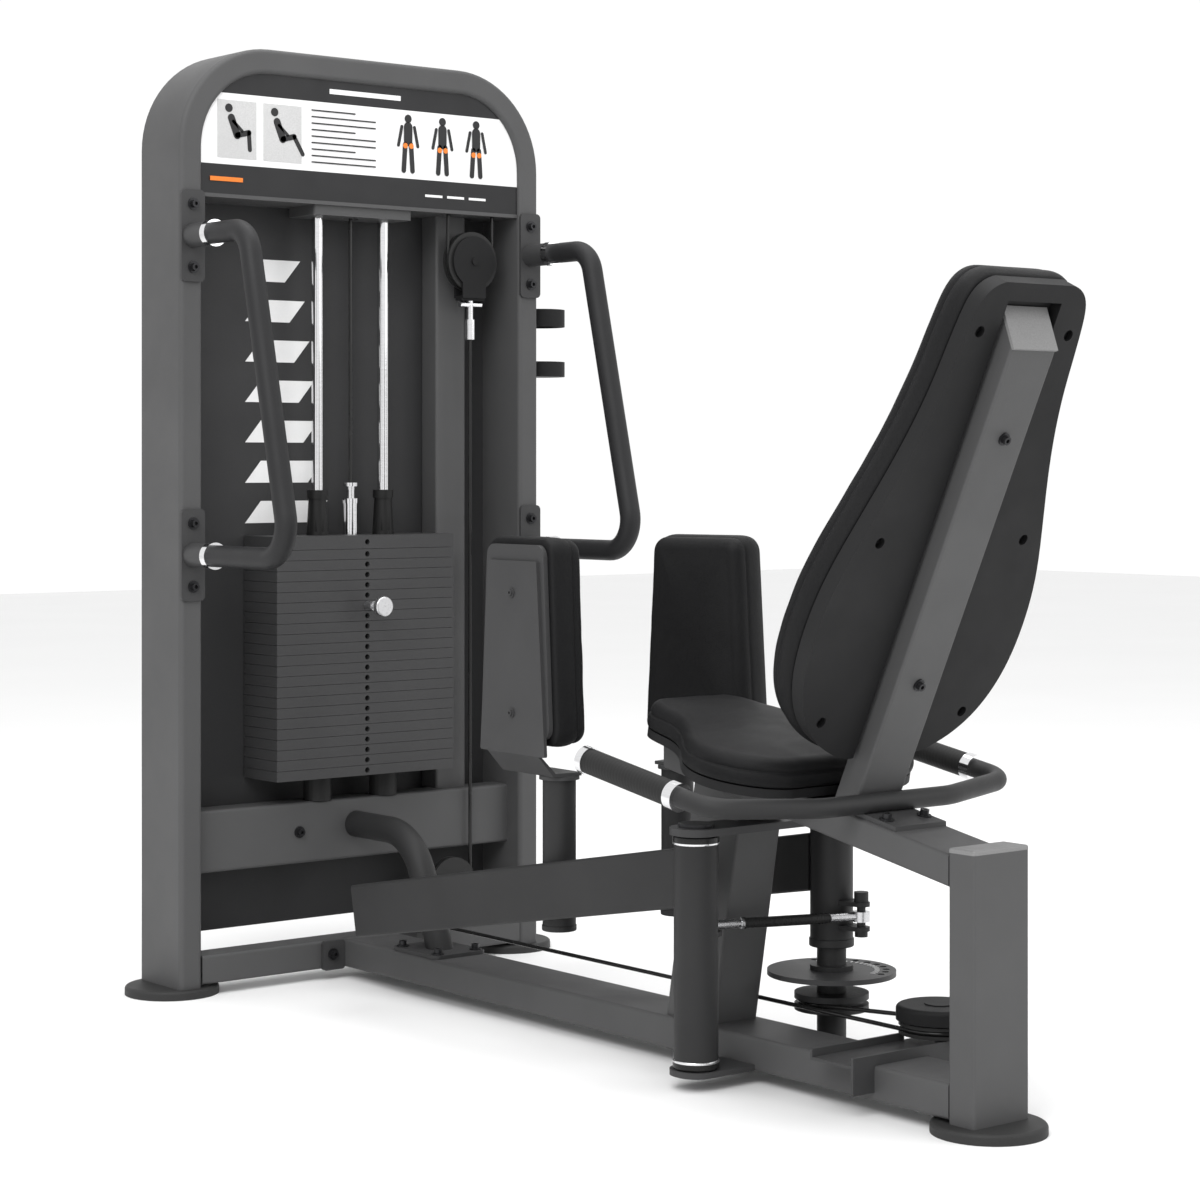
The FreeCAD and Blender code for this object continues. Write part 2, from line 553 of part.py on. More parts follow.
def cable_parts():
    """Upper cable: stack, two wheels behind the placard, hanging pulley, anchor. Lower: drum to pulley."""
    parts = {}
    top_z = TOP_WHEEL_Z
    radius = SMALL_WHEEL_R
    run_low = top_z - TOP_WHEEL_R
    strand = FALL_X - radius
    foot = Vector(0, STACK_MID, top_z)
    fall = Vector(strand, FALL_Y, top_z)
    run = (fall - foot).normalize()
    across = Vector(-run.y, run.x, 0)
    centres = (foot + run * TOP_WHEEL_R, fall - run * TOP_WHEEL_R)
    parts["top_wheel_stack"] = wheel(TOP_WHEEL_R, centres[0], across)
    parts["top_wheel_fall"] = wheel(TOP_WHEEL_R, centres[1], across)
    carriers = []
    for centre in centres:
        seat = Placement(centre, Rotation(Vector(0, 0, 1), math.degrees(math.atan2(run.y, run.x))))
        pin = rod(AXLE_R, Vector(0, -13, 0), Vector(0, 13, 0))
        carriers.append(placed(pin, seat))
        for dy in (-13, 9):
            ear = box(-9, 9, dy, dy + 4, TRAY_Z + 6 - top_z, 12)
            carriers.append(placed(ear.cut(pin), seat))
    parts["stack_cable"] = rod(CABLE_R, Vector(0, STACK_MID, STACK_TOP + 86), Vector(0, STACK_MID, run_low))
    lift = Vector(0, 0, TOP_WHEEL_R)
    crossing = sweep([foot - lift, foot + lift, fall + lift, fall - lift], [TOP_WHEEL_R] * 2, CABLE_R)
    pulley_z = HANG_Z
    hang = Vector(FALL_X, FALL_Y, pulley_z)
    anchor_x = FALL_X + radius
    parts["hanging_cables"] = [
        rod(CABLE_R, Vector(x, FALL_Y, pulley_z + 2), Vector(x, FALL_Y, run_low))
        for x in (strand, anchor_x)]
    stirrup = box(anchor_x - 20, anchor_x + 20, FALL_Y - 10, FALL_Y + 10, run_low, run_low + 6)
    for x0 in (anchor_x - 20, anchor_x + 15):
        stirrup = stirrup.fuse(box(x0, x0 + 5, FALL_Y - 10, FALL_Y + 10, TRAY_Z + 6, run_low))

    parts["hanging_wheel"] = wheel(radius, hang, (0, 1, 0))
    cheeks = []
    axle_hole = rod(AXLE_R, hang + Vector(0, -20, 0), hang + Vector(0, 20, 0))
    for dy in (-13, 9):
        face = rod(43, hang + Vector(0, dy, 0), hang + Vector(0, dy + 4, 0))
        tail = box(FALL_X - 24, FALL_X + 24, FALL_Y + dy, FALL_Y + dy + 4, pulley_z - 62, pulley_z - 18)
        cheeks.append(face.fuse(tail).cut(axle_hole))
    bridge = box(FALL_X - 24, FALL_X + 24, FALL_Y - 9, FALL_Y + 9, pulley_z - 66, pulley_z - 58)
    housing = cheeks[0].fuse(cheeks[1]).fuse(bridge)
    axle = rod(AXLE_R, hang + Vector(0, -16, 0), hang + Vector(0, 16, 0))
    parts["hanging_housing"] = [housing, axle]
    loop = Part.makeTorus(radius, CABLE_R, hang, Vector(0, 1, 0))
    above = box(FALL_X - 80, FALL_X + 80, FALL_Y - 9, FALL_Y + 9, pulley_z + 2, pulley_z + 90)
    parts["hanging_loop"] = loop.cut(above)
    eye_low = pulley_z - 132
    eye = rod(5.5, Vector(FALL_X, FALL_Y, eye_low + 14), Vector(FALL_X, FALL_Y, pulley_z - 66))
    ferrule = disc(8.5, FALL_X, FALL_Y, eye_low, eye_low + 34)
    cross_z = pulley_z - 72
    cross_pin = rod(5, Vector(FALL_X - 22, FALL_Y, cross_z), Vector(FALL_X + 22, FALL_Y, cross_z))
    parts["cable_eye"] = eye.fuse(ferrule).fuse(cross_pin)

    corner = CABLE_Z + BASE_WHEEL_R
    down = Vector(FALL_X - BASE_WHEEL_R, FALL_Y, corner)
    flat = Vector(CABLE_X + BASE_WHEEL_R, FALL_Y - BASE_WHEEL_R, CABLE_Z)
    parts["base_wheel_upright"] = wheel(BASE_WHEEL_R, down, (0, 1, 0))
    parts["base_wheel_flat"] = wheel(BASE_WHEEL_R, flat, (0, 0, 1))
    carriers.append(rod(AXLE_R, down + Vector(0, -13, 0), down + Vector(0, 13, 0)))
    for dy in (-13, 9):
        ear = box(down.x - 14, down.x + 14, down.y + dy, down.y + dy + 4, BASE_TOP, corner + 14)
        carriers.append(ear.cut(rod(AXLE_R, down + Vector(0, -20, 0), down + Vector(0, 20, 0))))
    shelf = box(CABLE_X + 10, CABLE_X + 82, TOWER_FRONT - 40, TOWER_FRONT + 20, BASE_TOP, BASE_TOP + 5)
    spindle = disc(AXLE_R, flat.x, flat.y, BASE_TOP, CABLE_Z + 14)
    carriers.append(spindle.fuse(soften(shelf, 8, Vector(0, 0, 1))))
    carriers.append(stirrup)
    parts["pulling_cable"] = rod(CABLE_R, Vector(FALL_X, FALL_Y, corner), Vector(FALL_X, FALL_Y, eye_low))

    rear = Vector(CABLE_X + REAR_WHEEL_R, REAR_WHEEL_Y, CABLE_Z)
    parts["rear_wheel"] = wheel(REAR_WHEEL_R, rear, (0, 0, 1))
    reach = Vector(PIVOT_X, PIVOT_Y, CABLE_Z) - rear
    gap = reach.Length
    swing = math.asin((REAR_WHEEL_R + DRUM_R) / gap)
    bearing = math.atan2(reach.y, reach.x)
    out = bearing - (math.pi / 2 - swing)
    leave = rear + Vector(math.cos(out), math.sin(out), 0) * REAR_WHEEL_R
    meet = Vector(PIVOT_X, PIVOT_Y, CABLE_Z) - Vector(math.cos(out), math.sin(out), 0) * DRUM_R
    far_side = rear + Vector(math.cos((math.pi + out) / 2 + math.pi),
                             math.sin((math.pi + out) / 2 + math.pi), 0) * REAR_WHEEL_R
    start = Vector(CABLE_X, rear.y, CABLE_Z)
    s = math.sqrt(0.5)
    drum = Vector(PIVOT_X, PIVOT_Y, CABLE_Z)
    wrap_angles = (math.radians(130), math.radians(60))
    wrap = [drum + Vector(math.cos(t), math.sin(t), 0) * DRUM_R for t in wrap_angles]
    edges = [
        Part.Arc(Vector(FALL_X, FALL_Y, corner),
                 Vector(down.x + BASE_WHEEL_R * s, FALL_Y, corner - BASE_WHEEL_R * s),
                 Vector(down.x, FALL_Y, CABLE_Z)).toShape(),
        Part.LineSegment(Vector(down.x, FALL_Y, CABLE_Z), Vector(flat.x, FALL_Y, CABLE_Z)).toShape(),
        Part.Arc(Vector(flat.x, FALL_Y, CABLE_Z),
                 Vector(flat.x - BASE_WHEEL_R * s, flat.y + BASE_WHEEL_R * s, CABLE_Z),
                 Vector(CABLE_X, flat.y, CABLE_Z)).toShape(),
        Part.LineSegment(Vector(CABLE_X, flat.y, CABLE_Z), start).toShape(),
        Part.Arc(start, far_side, leave).toShape(),
        Part.LineSegment(leave, meet).toShape(),
        Part.Arc(meet, wrap[0], wrap[1]).toShape(),
    ]
    wire = Part.Wire(edges)
    profile = Part.Wire([Part.makeCircle(CABLE_R, Vector(FALL_X, FALL_Y, corner), Vector(0, 0, -1))])
    parts["cable_runs"] = [crossing, wire.makePipeShell([profile], True, True)]

    shoe = box(-BEAM_HALF - 38, rear.x + 26, rear.y - 40, rear.y + 40, BASE_TOP, BASE_TOP + 4)
    lip = box(-BEAM_HALF - 38, BEAM_HALF + 30, rear.y + 36, rear.y + 40, BASE_TOP + 4, BASE_TOP + 14)
    back_lip = box(-BEAM_HALF - 38, rear.x + 26, rear.y - 40, rear.y - 36, BASE_TOP - 34, BASE_TOP + 14)
    back_lip = back_lip.cut(box(-BEAM_HALF, BEAM_HALF, 0, 400, BASE_LOW, BASE_TOP))
    spindle = disc(AXLE_R, rear.x, rear.y, BASE_TOP, CABLE_Z + 24)
    carriers.append(shoe.fuse(lip).fuse(back_lip).fuse(spindle))
    parts["pulley_carriers"] = carriers
    hood = disc(REAR_WHEEL_R + 8, rear.x, rear.y, CABLE_Z + 10, CABLE_Z + 30)
    hood = hood.makeFillet(6, [e for e in hood.Edges if e.Closed and e.BoundBox.ZMin > CABLE_Z + 29])
    hood = hood.cut(disc(AXLE_R, rear.x, rear.y, CABLE_Z, CABLE_Z + 24))
    parts["rear_wheel_hood"] = hood.fuse(disc(20, rear.x, rear.y, CABLE_Z + 30, CABLE_Z + 31.5))
    return parts


def arm_parts(side, name, crank):
    """Moving arm: pivot tube, bushes, rings, sloping tube, pad sleeve and crank lug."""
    parts = {}
    x = side * PIVOT_X
    axis = Vector(x, PIVOT_Y, 0)
    forward, inward = arm_directions(side)
    low = PIVOT_LOW + 1.0 if side < 0 else 164.0
    high = PIVOT_PLATE_TOP - PIVOT_PLATE - 1.0
    tube = disc(PIVOT_TUBE_R, x, PIVOT_Y, low + 12, high - 12).cut(disc(22, x, PIVOT_Y, low, high))
    parts[name + "_pivot_tube"] = tube
    bushes = []
    for z0, z1 in ((low, low + 12), (high - 12, high)):
        flange = disc(PIVOT_TUBE_R + 1.5, x, PIVOT_Y, z0, z1)
        flange = flange.makeFillet(2.0, [e for e in flange.Edges if e.Closed])
        bushes.append(flange.cut(disc(PIVOT_PIN_R + RUNNING, x, PIVOT_Y, z0 - 1, z1 + 1)))
    parts[name + "_pivot_bushes"] = bushes

    turn = Placement(Vector(x, PIVOT_Y, 0), Rotation(Vector(0, 0, 1), -side * ARM_HEADING))
    tip = math.tan(ARM_SLOPE)
    start = 18.0

    def arm_prism(inset):
        rise = (ARM_HEIGHT / 2 - inset) / math.cos(ARM_SLOPE)
        end = ARM_LENGTH
        cut = (ARM_HEIGHT / 2 - inset) * math.sin(ARM_SLOPE)
        wall_x = -side * ARM_SHIFT - ARM_WIDTH / 2 + inset
        corners = [
            Vector(wall_x, start, ARM_ROOT_Z + rise - start * tip),
            Vector(wall_x, end + cut, ARM_ROOT_Z + rise - (end + cut) * tip),
            Vector(wall_x, end - cut, ARM_ROOT_Z - rise - (end - cut) * tip),
            Vector(wall_x, start, ARM_ROOT_Z - rise - start * tip),
        ]
        face = Part.Face(Part.makePolygon(corners + corners[:1]))
        return face.extrude(Vector(ARM_WIDTH - 2 * inset, 0, 0))

    arm = box_tube(arm_prism, Vector(0, 1, -tip).normalize(), 5)
    arm = placed(arm, turn)
    sleeve_at = axis + forward * SLEEVE_FORWARD + inward * SLEEVE_SIDE
    arm = arm.cut(disc(PIVOT_TUBE_R, x, PIVOT_Y, 0, 400))
    parts[name + "_arm"] = arm.cut(disc(SLEEVE_R, sleeve_at.x, sleeve_at.y, 100, 400))

    sleeve = disc(SLEEVE_R, sleeve_at.x, sleeve_at.y, SLEEVE_LOW + 8, SLEEVE_TOP)
    sleeve = sleeve.cut(disc(12 + RUNNING, sleeve_at.x, sleeve_at.y, SLEEVE_LOW + 7, SLEEVE_TOP + 1))
    foot = disc(SLEEVE_R + 1, sleeve_at.x, sleeve_at.y, SLEEVE_LOW, SLEEVE_LOW + 8)
    foot = foot.makeFillet(2.0, [e for e in foot.Edges if e.Closed and e.BoundBox.ZMax < SLEEVE_LOW + 1])
    parts[name + "_pad_sleeve"] = sleeve.fuse(foot)

    lug_at = axis + Vector(crank[0], crank[1], 0)
    toward = Vector(crank[0], crank[1], 0).normalize()
    across = Vector(-toward.y, toward.x, 0)

    def lug(z0, z1, bore):
        corners = [axis + toward * 24 + across * 16, lug_at + across * 12, lug_at - across * 12,
                   axis + toward * 24 - across * 16]
        corners = [Vector(c.x, c.y, z0) for c in corners]
        plate = Part.Face(Part.makePolygon(corners + corners[:1])).extrude(Vector(0, 0, z1 - z0))
        plate = plate.fuse(disc(12, lug_at.x, lug_at.y, z0, z1))
        plate = plate.cut(disc(PIVOT_TUBE_R, x, PIVOT_Y, z0 - 1, z1 + 1))
        return plate.cut(disc(bore, lug_at.x, lug_at.y, z0 - 1, z1 + 1)) if bore else plate

    if side < 0:
        parts[name + "_crank"] = lug(LINK_Z - 14, LINK_Z - 8, 0)
    else:
        parts[name + "_crank"] = [lug(LINK_Z - 20, LINK_Z - 14, 6), lug(LINK_Z + 14, LINK_Z + 20, 6)]
        pin = disc(6, lug_at.x, lug_at.y, LINK_Z - 20, LINK_Z + 20)
        parts["link_pin"] = pin.fuse(disc(10, lug_at.x, lug_at.y, LINK_Z + 20, LINK_Z + 34)).fuse(
            disc(9, lug_at.x, lug_at.y, LINK_Z - 28, LINK_Z - 20))
    return parts


def drive_parts():
    """Turning parts under the right pivot tube: shaft, number disc and cable drum, and the link rod."""
    parts = {}
    bore = PIVOT_PIN_R + RUNNING
    x, y = PIVOT_X, PIVOT_Y
    shaft = disc(20.5, x, y, PIVOT_LOW + 1, 164)
    parts["drive_shaft"] = shaft.cut(disc(bore, x, y, 0, 200))
    plate = disc(DISC_R, x, y, 124, 131)
    slots = []
    for k in range(10):
        turn = math.radians(-70 + k * 15)
        at = Vector(x + (DISC_R - 14) * math.cos(turn), y + (DISC_R - 14) * math.sin(turn), 0)
        slots.append(disc(5.2, at.x, at.y, 120, 140))
    plate = plate.cut(Part.makeCompound(slots))
    plate = plate.cut(disc(20.5, x, y, 100, 200))
    parts["number_disc"] = plate
    drum = disc(DRUM_R + 7, x, y, CABLE_Z - 12, CABLE_Z + 12)
    drum = drum.cut(Part.makeTorus(DRUM_R, CABLE_R + 0.5, Vector(x, y, CABLE_Z), Vector(0, 0, 1)))
    drum = drum.cut(ring(DRUM_R + 9, DRUM_R, Vector(x, y, CABLE_Z - 3.5), Vector(x, y, CABLE_Z + 3.5)))
    parts["cable_drum"] = drum.cut(disc(20.5, x, y, 50, 130))
    collar = disc(30, x, y, 131, 138)
    parts["disc_collar"] = collar.cut(disc(20.5, x, y, 100, 200))

    right_end = Vector(PIVOT_X + RIGHT_CRANK[0], PIVOT_Y + RIGHT_CRANK[1], LINK_Z)
    left_end = Vector(-PIVOT_X + LEFT_CRANK[0], PIVOT_Y + LEFT_CRANK[1], LINK_Z)
    along = (left_end - right_end).normalize()
    eye = rod(12, right_end + Vector(0, 0, -7), right_end + Vector(0, 0, 7))
    eye = eye.cut(rod(6 + RUNNING, right_end + Vector(0, 0, -9), right_end + Vector(0, 0, 9)))
    shank = rod(6, right_end + along * 9, right_end + along * 52)
    shank = shank.cut(rod(9, right_end + Vector(0, 0, -9), right_end + Vector(0, 0, 9)))
    parts["link_end_right"] = eye.fuse(shank)
    parts["link_rod"] = rod(LINK_R + 0.8, right_end + along * 52, left_end - along * 46)
    ball = Part.makeSphere(9, left_end).cut(box(-400, 400, 0, 900, LINK_Z - 20, LINK_Z - 7))
    barrel = rod(6.4, left_end - along * 46, left_end - along * 6)
    nut = rod(8.6, left_end - along * 46, left_end - along * 40)
    below = box(-400, 400, 0, 900, LINK_Z - 30, LINK_Z - 7)
    parts["link_end_left"] = ball.fuse(barrel).fuse(nut).cut(below)
    return parts


def pad_parts(side, name):
    """Swivelling thigh pad: cushion, backing board, bent steel plate and its spigot in the sleeve."""
    parts = {}
    forward, inward = arm_directions(side)
    at = Vector(side * PIVOT_X, PIVOT_Y, 0) + forward * SLEEVE_FORWARD + inward * SLEEVE_SIDE
    turn = Placement(at, Rotation(Vector(0, 0, 1), side * TOE_IN[side]))
    centre = -side * PAD_OFFSET

    def slab(x0, x1, low, high, long_low, long_high, radius):
        inner = min(side * x0, side * x1)
        face = Part.Face(Part.makePolygon([
            Vector(inner, centre - long_low / 2, low), Vector(inner, centre + long_low / 2, low),
            Vector(inner, centre + long_high / 2, high), Vector(inner, centre - long_high / 2, high),
            Vector(inner, centre - long_low / 2, low)]))
        solid = face.extrude(Vector(abs(x1 - x0), 0, 0))
        return soften(solid, radius, Vector(1, 0, 0))

    cushion = slab(PAD_INNER, PAD_BACK, PAD_LOW, PAD_TOP, PAD_LENGTH_LOW, PAD_LENGTH_TOP, 22)
    parts[name + "_thigh_pad"] = placed(cushion, turn)
    inner = PAD_BACK + BOARD_THICK
    board = slab(PAD_BACK, inner, PAD_LOW + 8, PAD_TOP - 8, PAD_LENGTH_LOW - 16,
                 PAD_LENGTH_TOP - 16, 18)
    outer = inner + PLATE_THICK
    upright = slab(inner, outer, PLATE_LOW, PLATE_TOP, 164, 122, 3)
    shelf_z = SLEEVE_TOP + FLANGE_THICK + 0.5
    bend = [
        (inner, PLATE_LOW), (outer, PLATE_LOW), (28, shelf_z), (-20, shelf_z), (-20, shelf_z + PLATE_THICK),
        (25, shelf_z + PLATE_THICK),
    ]
    bend = [Vector(side * x, -side * -27, z) for x, z in bend]
    tongue = Part.Face(Part.makePolygon(bend + bend[:1])).extrude(Vector(0, -side * 130, 0))
    spigot = disc(12, 0, 0, SLEEVE_LOW + 30, shelf_z)
    cap = disc(FLANGE_R, 0, 0, SLEEVE_TOP + 0.5, shelf_z)
    cap = cap.makeFillet(1.5, [e for e in cap.Edges if e.Closed and e.BoundBox.ZMin > shelf_z - 0.5])
    bracket = [placed(board, turn), placed(upright.fuse(tongue), turn), placed(cap.fuse(spigot), turn)]
    for z in (PLATE_LOW + 58, PLATE_TOP - 46):
        bracket.append(placed(bolt(Vector(side * outer, centre, z), (side, 0, 0), 4.5, 3.0, 7.0), turn))
    parts[name + "_pad_bracket"] = bracket
    return parts


def seat_parts():
    """Seat and backrest: pads, shells, post, saddles."""
    parts = {}
    outline = mirrored_outline(SEAT_OUTLINE)
    shell = outline.extrude(Vector(0, 0, SEAT_SHELL))
    parts["seat_shell"] = placed(shell, SEAT_PLACE)
    cushion = outline.extrude(Vector(0, 0, SEAT_THICK))
    cushion.translate(Vector(0, 0, SEAT_SHELL))
    parts["seat_pad"] = placed(cushion, SEAT_PLACE)

    back = mirrored_outline(BACK_OUTLINE)
    shell = back.extrude(Vector(0, 0, -BACK_SHELL))
    groove = box(-GROOVE_HALF, GROOVE_HALF, -10, 640, -GROOVE_DEPTH, 1)
    shell = shell.cut(groove)
    for u, half in ((58, 128), (312, 130), (598, 80)):
        for side in (-1, 1):
            shell = shell.cut(disc(7.5, side * half, u, -9, 1))
    parts["back_shell"] = placed(shell, BACK_PLACE)
    cushion = back.extrude(Vector(0, 0, -BACK_PAD))
    cushion.translate(Vector(0, 0, -BACK_SHELL))
    parts["back_pad"] = placed(cushion, BACK_PLACE)

    rear_z = BACK_POST_DEPTH - GROOVE_DEPTH
    post_end = (Vector(-BACK_POST_HALF, POST_FRONT_TOP, -GROOVE_DEPTH),
                Vector(-BACK_POST_HALF, POST_REAR_TOP, rear_z))

    def post_prism(inset):
        low = -GROOVE_DEPTH + inset
        high = rear_z - inset
        x = -BACK_POST_HALF + inset
        corners = [Vector(x, -120, low), Vector(x, POST_FRONT_TOP, low),
                   Vector(x, POST_REAR_TOP, high), Vector(x, -120, high)]
        face = Part.Face(Part.makePolygon(corners + corners[:1]))
        return face.extrude(Vector(2 * (BACK_POST_HALF - inset), 0, 0))

    post = placed(box_tube(post_prism, Vector(0, 1, 0), 4), BACK_PLACE)
    foot = [Vector(-90, 0, beam_top(0) + SADDLE), Vector(-90, 600, beam_top(600) + SADDLE),
            Vector(-90, 600, -200), Vector(-90, 0, -200)]
    below = Part.Face(Part.makePolygon(foot + foot[:1])).extrude(Vector(180, 0, 0))
    parts["back_post"] = post.cut(below)
    ahead, behind = post_end
    slant = (behind - ahead).normalize()
    outward = Vector(0, slant.z, -slant.y) * CAP_THICK
    corners = [ahead, behind, behind + outward, ahead + outward]
    cap = Part.Face(Part.makePolygon(corners + corners[:1])).extrude(Vector(2 * BACK_POST_HALF, 0, 0))
    parts["back_post_cap"] = placed(cap, BACK_PLACE)
    heads = []
    for u in (118, 466):
        at = BACK_PLACE.multVec(Vector(0, u, rear_z))
        away = BACK_PLACE.Rotation.multVec(Vector(0, 0, 1))
        heads.append(bolt(at, away, 5.5, 6.0, 8.5))
    parts["back_post_bolts"] = heads

    saddle = []
    for y0, y1, half in ((118, 250, 46), (300, 380, 40), (480, 560, 40)):
        corners = [Vector(-half, y0, beam_top(y0)), Vector(-half, y1, beam_top(y1)),
                   Vector(-half, y1, beam_top(y1) + SADDLE), Vector(-half, y0, beam_top(y0) + SADDLE)]
        plate = Part.Face(Part.makePolygon(corners + corners[:1])).extrude(Vector(2 * half, 0, 0))
        saddle.append(plate)
    rear_run = bar_z(BAR_REAR)
    groove = rod(BAR_R + RUNNING, Vector(-60, BAR_REAR, rear_run), Vector(60, BAR_REAR, rear_run))
    saddle[0] = saddle[0].cut(groove)
    parts["seat_saddles"] = saddle
    head_y = 146.0
    up = Vector(0, -math.sin(SEAT_SLOPE), math.cos(SEAT_SLOPE))
    heads = [bolt(Vector(side * 34, head_y, beam_top(head_y) + SADDLE), up) for side in (-1, 1)]
    parts["saddle_bolts"] = heads

    def at(x, y):
        return Vector(x, y, bar_z(y))

    route = [at(-BAR_X, BAR_FRONT), at(-BAR_X, BAR_CORNER - 10), at(-118, BAR_REAR),
             at(118, BAR_REAR), at(BAR_X, BAR_CORNER - 10), at(BAR_X, BAR_FRONT)]
    parts["handlebar"] = tube_sweep(route, [46, 110, 110, 46], BAR_R)
    grips = []
    collars = []
    for side in (-1, 1):
        x = side * BAR_X
        grips.append(ring(GRIP_R, BAR_R, at(x, BAR_PIVOT_Y + 8), at(x, BAR_FRONT - 8)))
        collars.append(ring(COLLAR_R, BAR_R, at(x, BAR_PIVOT_Y - 8), at(x, BAR_PIVOT_Y + 8)))
        collars.append(ring(COLLAR_R, BAR_R, at(x, BAR_FRONT - 8), at(x, BAR_FRONT + 4)).fuse(
            rod(BAR_R, at(x, BAR_FRONT), at(x, BAR_FRONT + 4))))
    parts["seat_grips"] = grips
    parts["grip_collars"] = collars
    return parts


def handle_parts():
    """Bar round the seat, tower handles and bottle holder."""
    parts = {}
    collars = []
    flanges = []
    for side, name in ((-1, "left"), (1, "right")):
        x = side * UPRIGHT_X
        for z in (HANDLE_HIGH, HANDLE_LOW):
            flange = box(x - FLANGE_HALF, x + FLANGE_HALF, TOWER_FRONT - 5, TOWER_FRONT,
                         z - FLANGE_REACH, z + FLANGE_REACH)
            flange = soften(flange, 8, Vector(0, 1, 0))
            socket = ring(19, HANDLE_R, Vector(x, TOWER_FRONT - 58, z), Vector(x, TOWER_FRONT - 5, z))
            flanges.append(flange.fuse(socket))
            collar = ring(21, HANDLE_R, Vector(x, TOWER_FRONT - 72, z), Vector(x, TOWER_FRONT - 58, z))
            collars.append(collar)
        route = [Vector(x, TOWER_FRONT - 8, HANDLE_HIGH), Vector(x, TOWER_FRONT - 166, HANDLE_HIGH),
                 Vector(x, TOWER_FRONT - 288, HANDLE_LOW), Vector(x, TOWER_FRONT - 8, HANDLE_LOW)]
        parts["tower_handle_" + name] = tube_sweep(route, [46, 52], HANDLE_R)
    parts["handle_flanges"] = flanges
    parts["handle_collars"] = collars

    holder_x = TOWER_HALF + 50
    low, high = 989.0, 1106.0
    cup = disc(44, holder_x, TOWER_MID, low, low + 26).cut(disc(41, holder_x, TOWER_MID, low + 3, low + 30))
    hoop = disc(44, holder_x, TOWER_MID, high - 30, high)
    hoop = hoop.cut(disc(41, holder_x, TOWER_MID, high - 31, high + 1))
    strap = box(TOWER_HALF, TOWER_HALF + 8.6, TOWER_MID - 13, TOWER_MID + 13, low - 4, high + 4)
    holder = cup.fuse(hoop).fuse(strap.cut(disc(41, holder_x, TOWER_MID, 900, 1200)))
    parts["bottle_holder"] = holder
    return parts


def gathered(parts, node, members):
    """Moves several parts into one group of separate solids."""
    group = []
    for member in members:
        piece = parts.pop(member)
        group += piece if isinstance(piece, list) else [piece]
    parts[node] = group


def build():
    """Every node of the machine, by name."""
    parts = {}
    parts.update(tower_parts())
    parts.update(chassis_parts())
    parts.update(fastener_parts())
    parts.update(stack_parts())
    parts.update(cable_parts())
    parts.update(arm_parts(-1, "left", LEFT_CRANK))
    parts.update(arm_parts(1, "right", RIGHT_CRANK))
    parts.update(drive_parts())
    parts.update(pad_parts(-1, "left"))
    parts.update(pad_parts(1, "right"))
    parts.update(seat_parts())
    parts.update(handle_parts())
    gathered(parts, "inner_frame", [
        "base_cross_tube", "crossmember", "pulley_column", "top_tray", "rod_bracket"])
    gathered(parts, "end_caps", ["rear_post_cap", "back_post_cap"])
    gathered(parts, "pivot_plates", ["upper_pivot_plate", "lower_pivot_plates"])
    gathered(parts, "mounting_plates", [
        "beam_flanges", "brace_foot_plate", "seat_saddles", "handle_flanges"])
    gathered(parts, "frame_fasteners", [
        "handle_bolts", "frame_bolts", "back_post_bolts", "saddle_bolts"])
    gathered(parts, "chrome_collars", ["grip_collars", "handle_collars"])
    gathered(parts, "tower_handles", ["tower_handle_left", "tower_handle_right"])
    gathered(parts, "lifted_weights", ["lifted_plates", "top_plate"])
    gathered(parts, "left_arm_tube", ["left_arm", "left_pad_sleeve"])
    gathered(parts, "right_arm_tube", ["right_arm", "right_pad_sleeve"])
    gathered(parts, "left_pivot", ["left_pivot_tube", "left_crank"])
    gathered(parts, "right_pivot", ["right_pivot_tube", "right_crank", "right_pivot_bushes", "link_pin"])
    gathered(parts, "drive_shaft_drum", ["drive_shaft", "cable_drum", "disc_collar"])
    gathered(parts, "link", ["link_rod", "link_end_left", "link_end_right"])
    return parts


def write_step(node, piece):
    """One STEP file for one node."""
    shape = Part.makeCompound(piece) if isinstance(piece, list) else piece
    shape.exportStep("parts/" + node + ".step")


os.makedirs("parts", exist_ok=True)
for node, piece in build().items():
    write_step(node, piece)
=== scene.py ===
import json
import math

import bpy
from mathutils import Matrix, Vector, noise


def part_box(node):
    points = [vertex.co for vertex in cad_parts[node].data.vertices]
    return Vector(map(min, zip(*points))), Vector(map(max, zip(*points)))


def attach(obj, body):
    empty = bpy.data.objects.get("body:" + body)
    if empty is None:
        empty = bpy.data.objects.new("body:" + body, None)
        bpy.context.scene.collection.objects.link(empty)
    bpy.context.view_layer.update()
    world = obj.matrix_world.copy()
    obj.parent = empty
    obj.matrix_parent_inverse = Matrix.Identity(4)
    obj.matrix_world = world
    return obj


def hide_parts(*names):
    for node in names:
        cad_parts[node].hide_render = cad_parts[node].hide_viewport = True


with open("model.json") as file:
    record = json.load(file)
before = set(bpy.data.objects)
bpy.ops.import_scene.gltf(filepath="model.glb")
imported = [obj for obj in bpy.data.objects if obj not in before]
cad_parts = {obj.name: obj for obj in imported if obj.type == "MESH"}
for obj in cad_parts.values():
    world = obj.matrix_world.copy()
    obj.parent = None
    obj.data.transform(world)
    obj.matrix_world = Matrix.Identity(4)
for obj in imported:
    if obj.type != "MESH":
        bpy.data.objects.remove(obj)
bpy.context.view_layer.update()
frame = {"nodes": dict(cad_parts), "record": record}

# Cushions
OUTLINE_POINTS = 168
CROWN_RINGS = 22

# Bright ends of the link rod, and the bright rings on the left pivot
LINK_LEFT_END = 0.047
LINK_RIGHT_END = 0.058
RING_HEIGHT = 0.003
EDGE = 0.0005

# Floor
FLOOR_REACH = 14.0

# Printed graphics on the placard and the rear panel
PRINT_THICK = 0.0006
WHITE_BAND_LOW = 1.311
WHITE_BAND_TOP = 1.424

